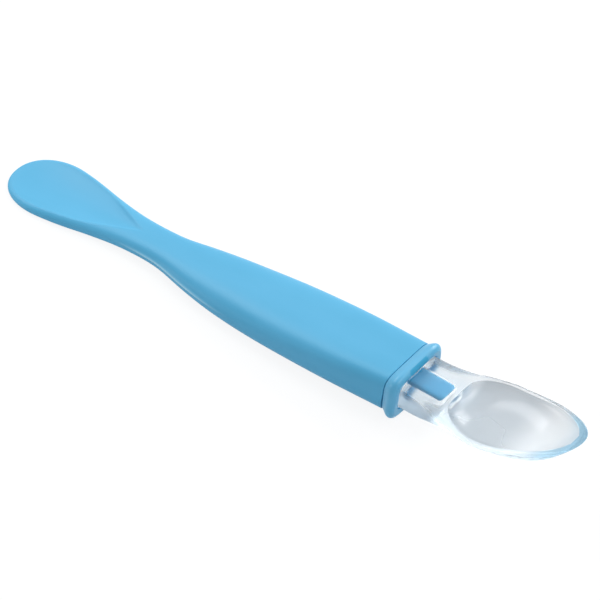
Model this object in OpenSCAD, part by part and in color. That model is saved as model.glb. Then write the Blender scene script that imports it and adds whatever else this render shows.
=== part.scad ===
// Baby spoon: a cored handle, a collar insert with a tongue, and a clear soft tip.
// +X runs from the handle to the bowl and +Z is up. The origin is the middle of the footprint.

/* [Handle] */
// Length from the seam to the round end of the paddle
handle_length = 119.6; // [112:0.2:128]
// Width at the mouth
mouth_width = 18.7; // [17.8:0.1:19.8]
// Height at the mouth
mouth_height = 11; // [10.4:0.1:11.8]
// Greatest width of the grip
grip_width = 21.4; // [20.2:0.1:22.6]
// Height where the grip starts to narrow
grip_height = 6.4; // [5.8:0.1:7.2]
// Width of the waist
waist_width = 11.5; // [10.4:0.1:12.6]
// Height of the waist
waist_height = 3.9; // [3.5:0.1:4.6]
// Greatest width of the paddle
paddle_width = 21.8; // [20.4:0.1:23]
// Thickness of the paddle across its hollow
paddle_height = 3.2; // [2.9:0.1:3.8]
// Thickness at the round end
end_height = 1.2; // [1:0.1:1.6]
// Length of the paddle's rounded end
nose_length = 14.4; // [12:0.2:16.4]
// Lift of the grip's underside off the table
grip_lift = 0.5; // [0.3:0.05:0.7]
// Lift of the waist off the table
waist_lift = 0.95; // [0.6:0.05:1.2]
// Depth of the flat that the paddle rests on
rest_flat_depth = 0.1; // [0.06:0.01:0.16]
// Depth of the thumb hollow
hollow_depth = 1.1; // [0.8:0.1:1.4]
// Rim left beside the thumb hollow
hollow_rim = 1.3; // [0.8:0.1:1.8]

/* [Socket] */
// Least wall round the socket
handle_wall = 1.7; // [1.4:0.1:2]
// Drop of the socket's axis below the mouth's middle
socket_drop = 0.5; // [0.4:0.05:0.6]
// Ledge behind the spigot
ledge = 0.5; // [0.3:0.1:0.8]
// Depth of the core past the ledge
core_length = 35; // [28:1:38]
// Radius of the core's blind end
core_round = 1.5; // [1:0.1:2]
// Edge break round the seam
edge_break = 0.25; // [0.15:0.05:0.4]

/* [Collar insert] */
// Thickness of the collar
collar_thickness = 3.6; // [3.2:0.1:4.2]
// How far the collar's crest stands out past the mouth
collar_bulge = 0.9; // [0.7:0.05:1.3]
// Depth of the flat that the collar rests on
collar_flat_depth = 0.05; // [0.04:0.01:0.08]
// Length of the spigot
spigot_length = 12; // [10:0.5:13]
// Gap round the spigot
spigot_clearance = 0.1; // [0.06:0.01:0.15]
// Gap left at the top of a crush rib
rib_clearance = 0.02; // [0.01:0.01:0.04]
// Radius of a crush rib
rib_radius = 0.5; // [0.4:0.05:0.6]
// Length of a crush rib
rib_length = 8; // [6:0.5:9]
// Wall of the cored spigot and of the collar's web
insert_wall = 1.5; // [1.2:0.1:1.8]
// Depth of the recess round the neck
recess_depth = 0.8; // [0.6:0.1:1]
// Reach of the tongue past the collar's face
tongue_reach = 9; // [8:0.5:9.5]
// Width of the tongue
tongue_width = 7; // [6:0.1:7.6]
// Thickness of the tongue
tongue_height = 3.5; // [3:0.1:4]
// Corner radius at the tongue's end
tongue_round = 1.2; // [0.8:0.1:1.6]

/* [Soft tip] */
// Length from the neck's foot to the tip of the bowl
tip_length = 46.6; // [44.5:0.1:50]
// Width of the neck at its foot
neck_width = 15.2; // [14.4:0.1:15.6]
// Height of the neck at its foot
neck_height = 8.3; // [7.9:0.1:8.6]
// Gap between the neck and the recess wall
neck_clearance = 0.3; // [0.2:0.05:0.4]
// Gap between the neck's foot and the recess floor
seat_clearance = 0.05; // [0.03:0.01:0.1]
// Gap round the tongue
pocket_clearance = 0.1; // [0.06:0.01:0.15]
// Greatest width of the bowl
bowl_width = 23.7; // [22:0.1:25]
// Wall of the bowl
bowl_wall = 1.3; // [1:0.1:1.6]
// Wall at the bowl's front lip
lip_wall = 2.3; // [2:0.1:2.6]
// Solid stretch between the tongue's end and the bowl's hollow
web_length = 2.6; // [2:0.1:4]
// Height of the rim at the back of the bowl
rim_height = 10.7; // [10.4:0.1:11.2]
// Rise of the rim from its lowest place to the lip
rim_rise = 6.9; // [6:0.1:7.8]
// Depth of the bowl at its deepest
bowl_depth = 5.9; // [5.4:0.1:6.4]

/* [Hidden] */
handle_blue = [0.43, 0.73, 0.91];
clear_silicone = [0.82, 0.88, 0.93, 0.55];

// Facet counts
ring_sides = 52;
handle_rings = 36;
nose_rings = 7;
core_rings = 4;
corner_rings = 3;
neck_rings = 6;
bowl_rings = 15;
lip_rings = 11;
hollow_sides = 16;
rim_sides = 4;
keel_sides = 20;
rib_sides = 24;
collar_rings = 12;

// Angle at which a rounded end passes to its closing point
nose_last_angle = 88;
lip_last_angle = 85;

// Stations along the handle, as shares of its length
width_station_shares = [0, 0.14, 0.28, 0.42, 0.52, 0.6, 0.68, 0.76, 0.84, 0.92, 1];
grip_swell_shares = [0.96, 1, 0.785, 0.395, 0];
paddle_swell_shares = [0, 0.265, 0.665, 0.905, 1];
line_station_shares = [0, 0.42, 0.6, 0.84, 1];

// Roundness of a section: 1 is an ellipse and 0 a rectangle
round_station_shares = [0, 0.14, 0.28, 0.42, 0.6, 1];
side_round_shares = [0.33, 0.42, 0.48, 0.5, 0.4, 0.4];
top_round_shares = [0.43, 0.55, 0.72, 0.85, 0.85, 0.7];
nose_width_share = 0.91;
nose_height_share = 0.45;

// The thumb hollow, as shares of the handle's length
hollow_start_share = 0.66;
hollow_deep_share = 0.86;
hollow_end_share = 0.985;
hollow_side_power = 1.2;

// The collar's outline, from its back face to its front face
collar_station_shares = [0, 0.2, 0.4, 0.58, 0.72, 0.84, 0.93, 1];
collar_swell_shares = [0, 0.38, 0.8, 1, 0.97, 0.78, 0.46, 0];

// The soft tip, as shares of its length
tip_station_shares = [0, 0.11, 0.2, 0.28, 0.365, 0.49];
flare_shares = [0, 0.085, 0.293, 0.567, 0.752, 1];
rim_station_shares = [0, 0.2, 0.36, 0.49, 0.62, 0.75, 0.87, 1];
rim_shares = [0, 0, 0, 0.01, 0.185, 0.46, 0.704, 1];
keel_station_shares = [0, 0.11, 0.28, 0.365, 0.49, 0.62, 0.75, 0.87, 1];
keel_shares = [0, 0.05, 0.182, 0.208, 0.28, 0.333, 0.376, 0.57, 1];
equator_station_shares = [0, 0.15, 0.33, 0.5, 1];
equator_shares = [0.5, 0.5, 0.8, 0.95, 0.85];
neck_round_share = 0.45;
bowl_round_share = 1;
round_change_shares = [0.12, 0.36];
hollow_back_share = 0.35;
hollow_turn_share = 0.16;
plan_share = 0.98;

// Derived places, measured from the seam
foot_x = collar_thickness - recess_depth;
neck_foot_x = foot_x + seat_clearance;
front_reach = neck_foot_x + tip_length;
seam_x = (handle_length - front_reach) / 2;
mouth_bottom = collar_bulge - collar_flat_depth;
mouth_middle = mouth_bottom + mouth_height / 2;
neck_bottom = rim_height - neck_height;
neck_middle = rim_height - neck_height / 2;
socket_half_width = mouth_width / 2 - handle_wall;
socket_half_height = mouth_height / 2 - handle_wall - socket_drop;
socket_z = mouth_middle - socket_drop;
ledge_x = -spigot_length - ledge;
core_end_x = ledge_x - core_length;
tongue_end_x = collar_thickness + tongue_reach;
pocket_end_x = tongue_end_x + pocket_clearance;

// Which stretch of a list of stations x lies in
function stretch(xs, x, i = 0) = (i >= len(xs) - 2 || x <= xs[i + 1]) ? i : stretch(xs, x, i + 1);

// Rise of the line from one station to the next
function rise(xs, ys, i) = (ys[i + 1] - ys[i]) / (xs[i + 1] - xs[i]);

// Slope at a station, level where the line turns, so that nothing overshoots
function slope(xs, ys, i) =
    i == 0 ? rise(xs, ys, 0) :
    i == len(xs) - 1 ? rise(xs, ys, i - 1) :
    rise(xs, ys, i - 1) * rise(xs, ys, i) <= 0 ? 0 :
    2 * rise(xs, ys, i - 1) * rise(xs, ys, i) / (rise(xs, ys, i - 1) + rise(xs, ys, i));

// Smooth line through named stations
function track(xs, ys, x) =
    let (i = stretch(xs, x))
    let (h = xs[i + 1] - xs[i])
    let (t = min(1, max(0, (x - xs[i]) / h)))
    ys[i] * (2 * t * t * t - 3 * t * t + 1)
    + ys[i + 1] * (3 * t * t - 2 * t * t * t)
    + h * slope(xs, ys, i) * (t * t * t - 2 * t * t + t)
    + h * slope(xs, ys, i + 1) * (t * t * t - t * t);

// Power of a sine or cosine that keeps its sign
function bend(c, share) = sign(c) * pow(abs(c), share);

// Blend from 0 to 1 between two places
function ease(t) = let (u = min(1, max(0, t))) u * u * (3 - 2 * u);

// Closed section at x: half sizes, middle height and roundness
function ring(x, half_width, half_height, z, side_share, top_share) = [
    for (i = [0 : ring_sides - 1])
    let (t = 360 * i / ring_sides)
    [x, half_width * bend(cos(t), side_share), z + half_height * bend(sin(t), top_share)]
];

// Handle half-width at s, the share of the handle's length behind the seam
function handle_half_width(s) = track(width_station_shares, concat(
    [mouth_width],
    [for (g = grip_swell_shares) waist_width + (grip_width - waist_width) * g],
    [for (g = paddle_swell_shares) waist_width + (paddle_width - waist_width) * g]
), s) / 2;
function handle_height(s) = track(
    line_station_shares, [mouth_height, grip_height, waist_height, paddle_height, end_height], s);
function handle_bottom(s) = track(
    line_station_shares, [mouth_bottom, grip_lift, waist_lift, -rest_flat_depth, 0], s);
function handle_middle(s) = handle_bottom(s) + handle_height(s) / 2;
function side_round(s) = track(round_station_shares, side_round_shares, s);
function top_round(s) = track(round_station_shares, top_round_shares, s);

// Depth of the thumb hollow at s and y
function hollow_along(s) =
    s < hollow_deep_share
    ? ease((s - hollow_start_share) / (hollow_deep_share - hollow_start_share))
    : ease((hollow_end_share - s) / (hollow_end_share - hollow_deep_share));
function hollow_across(y, half_width) =
    let (u = min(1, abs(y) / max(edge_break, half_width - hollow_rim)))
    pow(1 - u * u, hollow_side_power);

// Outer ring of the handle: width_scale and height_scale close its round end
function handle_ring(s, width_scale = 1, height_scale = 1, inset = 0) = [
    for (p = ring(
        -handle_length * s,
        (handle_half_width(s) - inset) * width_scale,
        (handle_height(s) / 2 - inset) * height_scale,
        handle_middle(s),
        side_round(s),
        top_round(s)
    ))
    let (dip = p[2] > handle_middle(s)
        ? hollow_depth * hollow_along(s) * hollow_across(p[1], handle_half_width(s) * width_scale) : 0)
    [p[0], p[1], max(0, p[2] - dip)]
];

// Rings of the paddle's round end, from its tip towards the waist
function nose_ring(angle) = handle_ring(
    1 - nose_length / handle_length * (1 - pow(sin(angle), nose_width_share)),
    pow(cos(angle), nose_width_share),
    pow(cos(angle), nose_height_share)
);

// Socket section in the handle's mouth, grown by a clearance or shrunk by an inset
function socket_ring(x, inset = 0) = ring(
    x, socket_half_width - inset, socket_half_height - inset, socket_z,
    side_round_shares[0], top_round_shares[0]);

// Core section at share t of the way from the ledge to the blind end
function core_half_width(t) =
    let (end_half_width = handle_half_width(-core_end_x / handle_length) - handle_wall)
    (socket_half_width - ledge) * (1 - t) + min(socket_half_width - ledge, end_half_width) * t;
function core_half_height(t) =
    let (end_half_height = handle_height(-core_end_x / handle_length) / 2 - handle_wall)
    (socket_half_height - ledge) * (1 - t) + min(socket_half_height - ledge, end_half_height) * t;
function core_ring(t, x = 0, inset = 0) = ring(
    ledge_x + (core_end_x - ledge_x) * t + x,
    core_half_width(t) - inset,
    core_half_height(t) - inset,
    socket_z * (1 - t) + handle_middle(-core_end_x / handle_length) * t,
    top_round_shares[1],
    top_round_shares[1]
);

// Collar section at share t of its thickness, with its crest cut flat where it rests
function collar_ring(t) =
    let (out = track(collar_station_shares, collar_swell_shares, t))
    let (swell = out * (collar_bulge + edge_break) - edge_break)
    let (whole = ring(
        collar_thickness * t, mouth_width / 2 + swell, mouth_height / 2 + swell, mouth_middle,
        side_round_shares[0], top_round_shares[0]))
    [for (p = whole) [p[0], p[1], max(0, p[2])]];

// Tongue section at x, grown by a clearance, with its end corners rounded in plan
function tongue_ring(x, grow = 0) =
    let (past = max(0, x - (tongue_end_x + grow - tongue_round)))
    let (cut = tongue_round - sqrt(max(0, tongue_round * tongue_round - past * past)))
    ring(
        x, tongue_width / 2 + grow - cut, tongue_height / 2 + grow, mouth_middle,
        neck_round_share, neck_round_share);
function tongue_end_rings(grow = 0) = [
    for (i = [0 : corner_rings])
    tongue_ring(tongue_end_x + grow - tongue_round * (1 - sin(90 * i / corner_rings)), grow)
];

// Lines of the soft tip at s, the share of its length from the neck's foot
function tip_half_width(s) =
    let (nose = max(0, (s - tip_station_shares[5]) / (1 - tip_station_shares[5])))
    (neck_width + (bowl_width - neck_width) * track(tip_station_shares, flare_shares, s)) / 2
    * pow(max(0, 1 - pow(nose, 2 / plan_share)), plan_share / 2);
function rim_line(s) = rim_height + rim_rise * track(rim_station_shares, rim_shares, s);
function keel_line(s) =
    neck_bottom + (rim_height + rim_rise - neck_bottom) * track(keel_station_shares, keel_shares, s);
function equator(s) =
    let (share = track(equator_station_shares, equator_shares, s))
    keel_line(s) * (1 - share) + rim_line(s) * share;
function tip_round(s) =
    neck_round_share + (bowl_round_share - neck_round_share)
    * ease((s - round_change_shares[0]) / (round_change_shares[1] - round_change_shares[0]));

// The bowl's hollow: shares of its full width and depth at s
hollow_foot_share = (pocket_end_x + web_length - neck_foot_x) / tip_length;
hollow_lip_share = 1 - lip_wall / tip_length;
hollow_mid_share = tip_station_shares[5];
function hollow_plan(s) =
    let (back = max(0, (hollow_foot_share + hollow_turn_share - s) / hollow_turn_share))
    let (front = max(0, (s - hollow_mid_share) / (hollow_lip_share - hollow_mid_share)))
    pow(max(0, 1 - pow(min(1, back), 2 / plan_share)), plan_share / 2)
    * pow(max(0, 1 - pow(min(1, front), 2 / plan_share)), plan_share / 2);
function hollow_half_width(s) =
    s >= hollow_mid_share
    ? max(hollow_back_share * tip_half_width(s), (bowl_width / 2 - bowl_wall) * hollow_plan(s))
    : tip_half_width(s) * hollow_back_share
        + (tip_half_width(s) * (1 - hollow_back_share) - bowl_wall) * hollow_plan(s);
function hollow_floor(s) = min(bowl_depth, rim_line(s) - keel_line(s)) - bowl_wall;

// Section of the soft tip at s: over the rim and hollow from +Y to -Y, then under the keel
function tip_ring(s) =
    let (x = neck_foot_x + tip_length * s)
    let (a = tip_half_width(s))
    let (inner = hollow_half_width(s))
    let (z = equator(s))
    let (top = rim_line(s))
    let (low = keel_line(s))
    let (share = tip_round(s))
    let (depth = hollow_floor(s) * hollow_plan(s))
    concat(
        [for (i = [0 : rim_sides - 1])
            let (t = 90 * i / rim_sides)
            [x, inner + (a - inner) * bend(cos(t), share), z + (top - z) * bend(sin(t), share)]],
        [for (i = [0 : hollow_sides])
            let (t = 180 * i / hollow_sides)
            [x, inner * cos(t), top - depth * sin(t)]],
        [for (i = [rim_sides - 1 : -1 : 0])
            let (t = 90 * i / rim_sides)
            [x, -inner - (a - inner) * bend(cos(t), share), z + (top - z) * bend(sin(t), share)]],
        [for (i = [1 : keel_sides - 1])
            let (t = 180 * i / keel_sides)
            [x, -a * bend(cos(t), share), z - (z - low) * bend(sin(t), share)]]
    );

// Ring with the soft tip's point count and order, from another ring's half sizes
function pocket_ring(x) =
    let (past = max(0, x - (pocket_end_x - tongue_round)))
    let (cut = tongue_round - sqrt(max(0, tongue_round * tongue_round - past * past)))
    let (a = tongue_width / 2 + pocket_clearance - cut)
    let (b = tongue_height / 2 + pocket_clearance)
    let (over = 2 * rim_sides + hollow_sides)
    [for (i = [0 : over + keel_sides - 1])
        let (t = i <= over ? 180 * i / over : 180 + 180 * (i - over) / keel_sides)
        [x, a * bend(cos(t), neck_round_share), mouth_middle + b * bend(sin(t), neck_round_share)]];

// Closed skin over a row of rings, with one point that shuts each end
module skin(rings, first, last) {
    n = len(rings[0]);
    end = len(rings) * n + 1;
    polyhedron(
        points = concat([first], [for (r = rings) each r], [last]),
        faces = concat(
            [for (i = [0 : n - 1]) [0, 1 + i, 1 + (i + 1) % n]],
            [for (k = [0 : len(rings) - 2], i = [0 : n - 1])
                [1 + k * n + i, 1 + (k + 1) * n + i, 1 + k * n + (i + 1) % n]],
            [for (k = [0 : len(rings) - 2], i = [0 : n - 1])
                [1 + k * n + (i + 1) % n, 1 + (k + 1) * n + i, 1 + (k + 1) * n + (i + 1) % n]],
            [for (i = [0 : n - 1]) [end, end - n + (i + 1) % n, end - n + i]]
        )
    );
}

module at_seam() {
    translate([seam_x, 0, 0]) children();
}

// Cored handle: the outside from the round end to the mouth, then the socket and core
module handle() {
    nose_share = 1 - nose_length / handle_length;
    mouth_share = edge_break / handle_length;
    color(handle_blue)
    at_seam()
    skin(
        concat(
            [for (i = [nose_rings : -1 : 1]) nose_ring(nose_last_angle * i / nose_rings)],
            [for (i = [0 : handle_rings])
                handle_ring(nose_share + (mouth_share - nose_share) * i / handle_rings)],
            [handle_ring(0, inset = edge_break)],
            [socket_ring(0, -edge_break)],
            [socket_ring(-edge_break)],
            [socket_ring(ledge_x)],
            [for (i = [0 : core_rings]) core_ring(i / core_rings)],
            [for (i = [1 : corner_rings])
                let (t = 90 * i / (corner_rings + 1))
                core_ring(1, -core_round * sin(t), core_round * (1 - cos(t)))]
        ),
        [-handle_length, 0, handle_middle(1)],
        [core_end_x - core_round, 0, handle_middle(-core_end_x / handle_length)]
    );
}

// Crush ribs: two on top of the spigot, two below
module crush_ribs() {
    for (side = [-1, 1])
    for (up = [-1, 1])
    translate([
        -rib_length - edge_break,
        side * socket_half_width / 2,
        socket_z + up * (socket_half_height - rib_clearance - rib_radius)
    ])
    rotate([0, 90, 0])
    cylinder(r = rib_radius, h = rib_length, $fn = rib_sides);
}

// Collar insert: cored spigot, bull-nosed collar, recess round the neck, and tongue
module collar_insert() {
    web_x = foot_x - insert_wall;
    color(handle_blue)
    at_seam()
    union() {
        skin(
            concat(
                [socket_ring(web_x, spigot_clearance + insert_wall + edge_break)],
                [socket_ring(-spigot_length, spigot_clearance + insert_wall)],
                [socket_ring(-spigot_length, spigot_clearance + edge_break)],
                [socket_ring(-spigot_length + 2 * edge_break, spigot_clearance)],
                [socket_ring(0, spigot_clearance)],
                [for (i = [0 : collar_rings]) collar_ring(i / collar_rings)],
                [for (x = [collar_thickness, foot_x])
                    ring(x, neck_width / 2 + neck_clearance, neck_height / 2 + neck_clearance,
                        neck_middle, neck_round_share, neck_round_share)],
                [tongue_ring(foot_x)],
                tongue_end_rings()
            ),
            [web_x, 0, socket_z],
            [tongue_end_x, 0, mouth_middle]
        );
        crush_ribs();
    }
}

// Soft tip: the pocket from its blind end to the neck's foot, then the neck and bowl
module silicone_tip() {
    turn_share = hollow_foot_share + hollow_turn_share;
    front_share = hollow_lip_share - hollow_mid_share;
    color(clear_silicone)
    at_seam()
    skin(
        concat(
            [for (i = [corner_rings : -1 : 0])
                pocket_ring(pocket_end_x - tongue_round * (1 - sin(90 * i / corner_rings)))],
            [pocket_ring(neck_foot_x)],
            [for (i = [0 : neck_rings]) tip_ring(hollow_foot_share * i / neck_rings)],
            [for (i = [1 : bowl_rings])
                tip_ring(turn_share - hollow_turn_share * cos(90 * i / bowl_rings))],
            [for (i = [1 : bowl_rings])
                tip_ring(turn_share + (hollow_mid_share - turn_share) * i / bowl_rings)],
            [for (i = [1 : lip_rings])
                tip_ring(hollow_mid_share + front_share * sin(90 * i / lip_rings))],
            [for (i = [1 : corner_rings])
                tip_ring(1 - (1 - hollow_lip_share) * (1 - sin(lip_last_angle * i / corner_rings)))]
        ),
        [pocket_end_x, 0, mouth_middle],
        [front_reach, 0, rim_height + rim_rise]
    );
}

handle();
collar_insert();
silicone_tip();
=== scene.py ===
"""Looks of the baby spoon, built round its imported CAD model.

Lengths are in millimetres until a mesh is made. Places along a piece are shares, 0 to 1, of its length.
"""

import math

import bpy
import numpy as np
from mathutils import Matrix, Vector


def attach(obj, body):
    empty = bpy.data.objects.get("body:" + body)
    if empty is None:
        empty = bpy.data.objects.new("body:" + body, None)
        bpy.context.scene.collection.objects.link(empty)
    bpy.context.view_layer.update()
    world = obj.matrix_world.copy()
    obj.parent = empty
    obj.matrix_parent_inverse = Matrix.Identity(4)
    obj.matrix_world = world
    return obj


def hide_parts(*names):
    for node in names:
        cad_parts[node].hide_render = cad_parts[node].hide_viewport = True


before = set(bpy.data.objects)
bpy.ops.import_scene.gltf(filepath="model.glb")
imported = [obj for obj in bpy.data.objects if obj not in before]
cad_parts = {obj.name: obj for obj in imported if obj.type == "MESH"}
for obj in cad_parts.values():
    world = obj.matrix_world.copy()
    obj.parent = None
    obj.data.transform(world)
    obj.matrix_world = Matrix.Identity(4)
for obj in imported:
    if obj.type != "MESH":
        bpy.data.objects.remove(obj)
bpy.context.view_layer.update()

MM = 0.001

# Handle
HANDLE_LENGTH = 119.6
MOUTH_WIDTH = 18.7
MOUTH_HEIGHT = 11.0
GRIP_WIDTH = 21.4
GRIP_HEIGHT = 6.4
WAIST_WIDTH = 11.5
WAIST_HEIGHT = 3.9
PADDLE_WIDTH = 21.8
PADDLE_HEIGHT = 3.2
END_HEIGHT = 1.2
NOSE_LENGTH = 14.4
GRIP_LIFT = 0.5
WAIST_LIFT = 0.95
REST_FLAT_DEPTH = 0.1
WIDTH_STATIONS = (0, 0.14, 0.28, 0.42, 0.52, 0.6, 0.68, 0.76, 0.84, 0.92, 1)
GRIP_SWELLS = (0.96, 1, 0.785, 0.395, 0)
PADDLE_SWELLS = (0, 0.265, 0.665, 0.905, 1)
LINE_STATIONS = (0, 0.42, 0.6, 0.84, 1)
ROUND_STATIONS = (0, 0.14, 0.28, 0.42, 0.6, 1)
SIDE_ROUNDS = (0.33, 0.42, 0.5, 0.57, 0.55, 0.43)
TOP_ROUNDS = (0.43, 0.55, 0.72, 0.9, 0.88, 0.62)
LOW_SIDE_ROUNDS = (0.33, 0.4, 0.4, 0.35, 0.33, 0.33)
LOW_TOP_ROUNDS = (0.43, 0.52, 0.6, 0.6, 0.55, 0.5)
LOW_SHARES = (0.5, 0.48, 0.43, 0.36, 0.36, 0.4)
NOSE_WIDTH_POWER = 0.91
NOSE_HEIGHT_POWER = 0.45

# Thumb hollow of the paddle: pointed towards the waist, deepest near the end
THUMB_DEPTH = 1.5
THUMB_RIM = 1.5
THUMB_START = 0.665
THUMB_POINT_LENGTH = 0.14
THUMB_DEEPEST = 0.86
THUMB_END = 0.985
THUMB_SIDE_POWER = 0.75
THUMB_LEAST_REACH = 0.25

# Parting line of the mould: a low bead on both sides, a little above their widest place, with a painted
# highlight along it
PARTING_HEIGHT = 0.32
PARTING_SPREAD = 0.24
PARTING_RISE = 0.55
PARTING_START = 0.37
PARTING_START_FADE = 0.13
PARTING_END = 0.72
PARTING_END_FADE = 0.12
BEAD_SIDE_SHARE = 0.8
# Share of the half width beyond which the parting line's painted highlight is laid
PARTING_HIGHLIGHT_SIDE_SHARE = 0.9

# Socket and core
HANDLE_WALL = 1.7
SOCKET_DROP = 0.5
LEDGE = 0.5
CORE_LENGTH = 35.0
CORE_ROUND = 1.5
CORE_MOUTH_EDGE = 0.2
MOUTH_EDGE = 0.18
MOUTH_EASE = 0.5
GAP_TOP = 0.1
GAP_BELOW = 0.4
GAP_CHANGE_TOP = 4.5
GAP_CHANGE_HEIGHT = 10.0

# Collar insert
COLLAR_THICKNESS = 3.6
COLLAR_BULGE = 0.9
COLLAR_FLAT_DEPTH = 0.05
COLLAR_EDGE = 0.12
COLLAR_STATIONS = (0, 0.2, 0.4, 0.58, 0.72, 0.84, 0.93, 1)
COLLAR_SWELLS = (0, 0.38, 0.8, 1, 0.97, 0.78, 0.46, 0)
SPIGOT_LENGTH = 12.0
SPIGOT_CLEARANCE = 0.1
SPIGOT_DRAFT = 0.25
SPIGOT_EDGE = 0.2
LEAD_IN = 0.25
LEAD_IN_LENGTH = 0.5
RIB_CLEARANCE = 0.02
RIB_RADIUS = 0.5
RIB_LENGTH = 8.0
RIB_SETBACK = 0.25
RIB_END_SHARE = 0.8
RIB_END_LENGTH = 0.1
RIB_SIDES = 24
INSERT_WALL = 1.5
COLLAR_BACK_EDGE = 0.1
RECESS_DEPTH = 0.8
RECESS_MOUTH_EDGE = 0.15
RECESS_FOOT_EDGE = 0.2
TONGUE_REACH = 9.0
TONGUE_WIDTH = 7.0
TONGUE_HEIGHT = 3.5
TONGUE_ROUND = 1.2
TONGUE_FOOT_EDGE = 0.3
TONGUE_END_EDGE = 0.35
TONGUE_FOOT_STEP = 1.0
TONGUE_END_STEP = 0.5
TONGUE_FACE_WIDTH_SHARE = 0.9
TONGUE_FACE_HEIGHT_SHARE = 0.8

# Soft tip
TIP_LENGTH = 46.6
NECK_WIDTH = 15.2
NECK_HEIGHT = 8.3
NECK_CLEARANCE = 0.3
SEAT_CLEARANCE = 0.05
POCKET_CLEARANCE = 0.1
BOWL_WIDTH = 23.7
BOWL_WALL = 1.3
LIP_WALL = 2.3
WEB_LENGTH = 2.6
RIM_HEIGHT = 10.7
RIM_RISE = 6.9
BOWL_DEPTH = 5.9
TIP_STATIONS = (0, 0.11, 0.2, 0.28, 0.365, 0.49)
FLARES = (0, 0.085, 0.293, 0.567, 0.752, 1)
RIM_STATIONS = (0, 0.2, 0.36, 0.49, 0.62, 0.75, 0.87, 1)
RIM_SHARES = (0, 0, 0, 0.01, 0.185, 0.46, 0.704, 1)
KEEL_STATIONS = (0, 0.11, 0.28, 0.365, 0.49, 0.62, 0.75, 0.87, 1)
KEEL_SHARES = (0, 0.05, 0.182, 0.208, 0.28, 0.333, 0.376, 0.57, 1)
EQUATOR_STATIONS = (0, 0.15, 0.33, 0.5, 1)
EQUATOR_SHARES = (0.5, 0.5, 0.8, 0.95, 0.85)
NECK_ROUND = 0.45
BOWL_ROUND = 1.0
ROUND_CHANGE = (0.12, 0.36)
HOLLOW_BACK = 0.35
HOLLOW_TURN = 0.16
PLAN_POWER = 0.98
TIP_FOOT_EDGE = 0.15
TIP_SECOND_SHARE = 0.004
TIP_LAST_SHARE = 0.9998

# Spacing of the soft tip's rings: at the hollow's ends, at the lip's front, its most and its growth
TURN_STEP = 0.0009
FRONT_STEP = 0.0003
GREATEST_STEP = 0.008
STEP_GROWTH = 0.1

# How clear the silicone is, and where its painted shade in the bowl and its painted blue glow at the lip
# start and fade along the tip, as shares of its length
CLOUD_LOSS = 0.14
CLOUD_START = 0.2
CLOUD_FADE = 0.22
BOWL_CLARITY = 0.66
# Painted shade in the bowl's hollow fades in past its foot and out towards the lip
PAINTED_SHADE_START_FADE = 0.06
PAINTED_SHADE_END = 0.56
PAINTED_SHADE_END_FADE = 0.24
# Painted blue glow on the front of the lip
LIP_GLOW_START = 0.76
LIP_GLOW_FADE = 0.12

# The lip's painted blue glow and the frost by height, and margins round the tongue and its pocket, in
# millimetres
LIP_GLOW_DROP = 7.2
LIP_GLOW_RISE = 6.0
FROST_START = 0.75
FROST_FADE = 1.6
TONGUE_MARGIN = 0.1
POCKET_MARGIN = 0.2
POCKET_END_MARGIN = 0.1

# Colours, and the part of a noise's range that holds nearly all of it
DEEP_BLUE = (0.09, 0.45, 0.718, 1)
PALE_BLUE = (0.108, 0.478, 0.756, 1)
WET_BLUE = (0.045, 0.4, 0.67, 1)
# Painted highlight along the parting line
PARTING_HIGHLIGHT_BLUE = (0.42, 0.78, 0.97, 1)
DEEP_MILK = (0.9, 0.915, 0.93, 1)
PALE_MILK = (0.94, 0.945, 0.95, 1)
# Painted shade in the bowl's hollow
BOWL_PAINTED_SHADE = (0.46, 0.51, 0.55, 1)
# Painted blue glow of the lip
LIP_PAINTED_GLOW = (0.4, 0.72, 0.9, 1)
SHADOW_TINT = (0.78, 0.83, 0.87, 1)
DEPTH_TINT = (0.3, 0.72, 0.95, 1)
WHITE = (1, 1, 1, 1)
NOISE_LOW = 0.3
NOISE_HIGH = 0.7

# Roughness: what silicone adds to the plastic it wets, the silicone's own range, and what frost adds
WET_ROUGHNESS = 0.5
SILICONE_SMOOTHEST = 0.17
SILICONE_ROUGHEST = 0.21
FROST_MOST = 0.35

# Grain of the surfaces: patches to a metre, and depths in metres
TINT_SCALES = (40, 110, 110)
TINT_DETAIL = 3.0
TINT_ROUGHNESS = 0.5
PEEL_SCALE = 900.0
PEEL_STRENGTH = 0.06
PEEL_DEPTH = 0.0001
WAVE_SCALE = 130.0
WAVE_STRENGTH = 0.1
WAVE_DEPTH = 0.0002
FINE_DETAIL = 2.0

# How the materials bend light, how dense the silicone's tint is, and how much broad faces set the shading
PLASTIC_IOR = 1.49
SILICONE_IOR = 1.41
TINT_DENSITY = 18.0
BROAD_FACE_WEIGHT = 60

# Studio, in metres and watts: each lamp's name, place, aim, width, height and power
LAMPS = (
    ("main softbox", (-0.51, 0.21, 0.61), (0, 0, 0), 0.32, 0.28, 1.4),
    ("back softbox", (0.08, 0.66, 0.42), (0, 0, 0), 0.5, 0.3, 2.9),
    ("top softbox", (-0.33, 0.52, 0.6), (0, 0, 0), 0.6, 0.6, 0.5),
    ("bowl softbox", (0.5, 0.2, 0.5), (0.02, 0, 0), 0.25, 0.25, 0.7),
    ("side softbox", (-0.3, -0.17, 0.1), (-0.03, 0, 0), 0.15, 0.08, 0.13),
)
FLOOR_HALF_SIDE = 4.0
FLOOR_GREY = (0.8, 0.8, 0.8, 1)
FLOOR_GLOW = 1.1
FLOOR_LIFT = 0.8
NO_MATT_BOUNCE = 0.5
STUDIO_TINT = (0.95, 1.0, 1.05, 1)
STUDIO_STRENGTH = 0.46

# The photograph's view, in degrees and metres. The focal length is in the photograph's pixels
VIEW_AZIMUTH = 32.191
VIEW_ELEVATION = 44.066
VIEW_ROLL = 6.233
VIEW_DISTANCE = 0.918
VIEW_AIM = (0.00036, 0.00459, 0.006)
FOCAL_PIXELS = 3785.0
PHOTO_PIXELS = 600
SENSOR_WIDTH = 36
NEAREST, FARTHEST = 0.05, 20

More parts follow.
